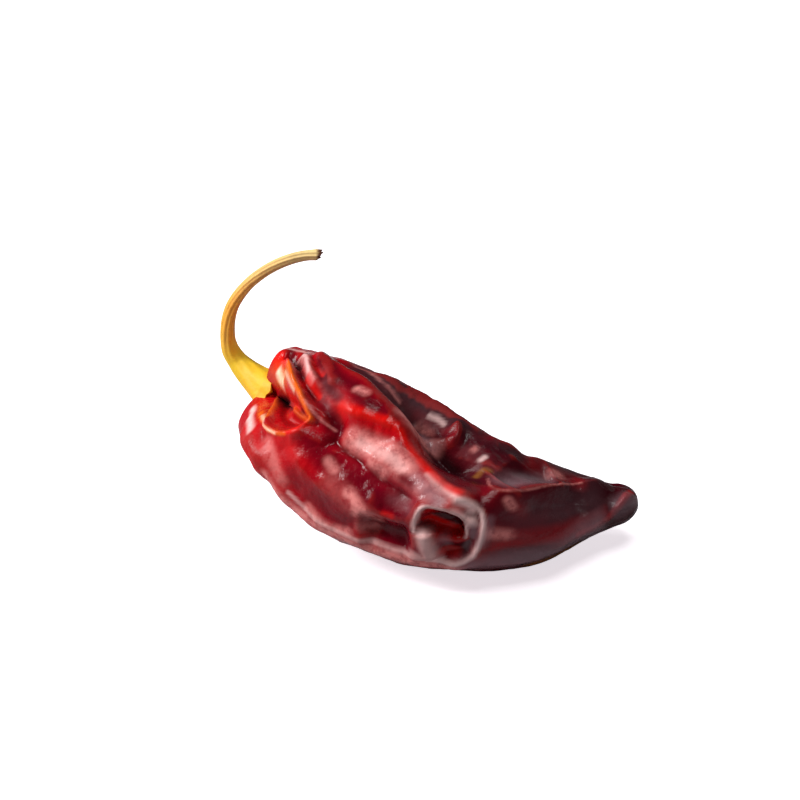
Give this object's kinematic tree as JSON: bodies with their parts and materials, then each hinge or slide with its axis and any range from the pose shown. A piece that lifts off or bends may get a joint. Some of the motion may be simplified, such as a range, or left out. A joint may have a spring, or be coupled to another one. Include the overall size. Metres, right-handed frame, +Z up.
{
  "type": "dried chilli pepper",
  "caption": "Whole dried chilli pepper lying on its side: a wrinkled, folded, tapering pod with its calyx and a long hooked stem",
  "frame": {"origin": "centre of the bounding box in plan, at the height of the surface it lies on", "axes": "+X along the pod from the stem end to the tip, -Y the side shown, +Z up"},
  "size_m": [0.1024, 0.0676, 0.0582],
  "materials": {
    "pod_skin": "glossy leathery dried skin, dark red",
    "stem_wood": "matt dry straw-coloured fibre"
  },
  "bodies": {
    "root": {"pod": "pod_skin", "stem": "stem_wood"}
  },
  "joints": []
}
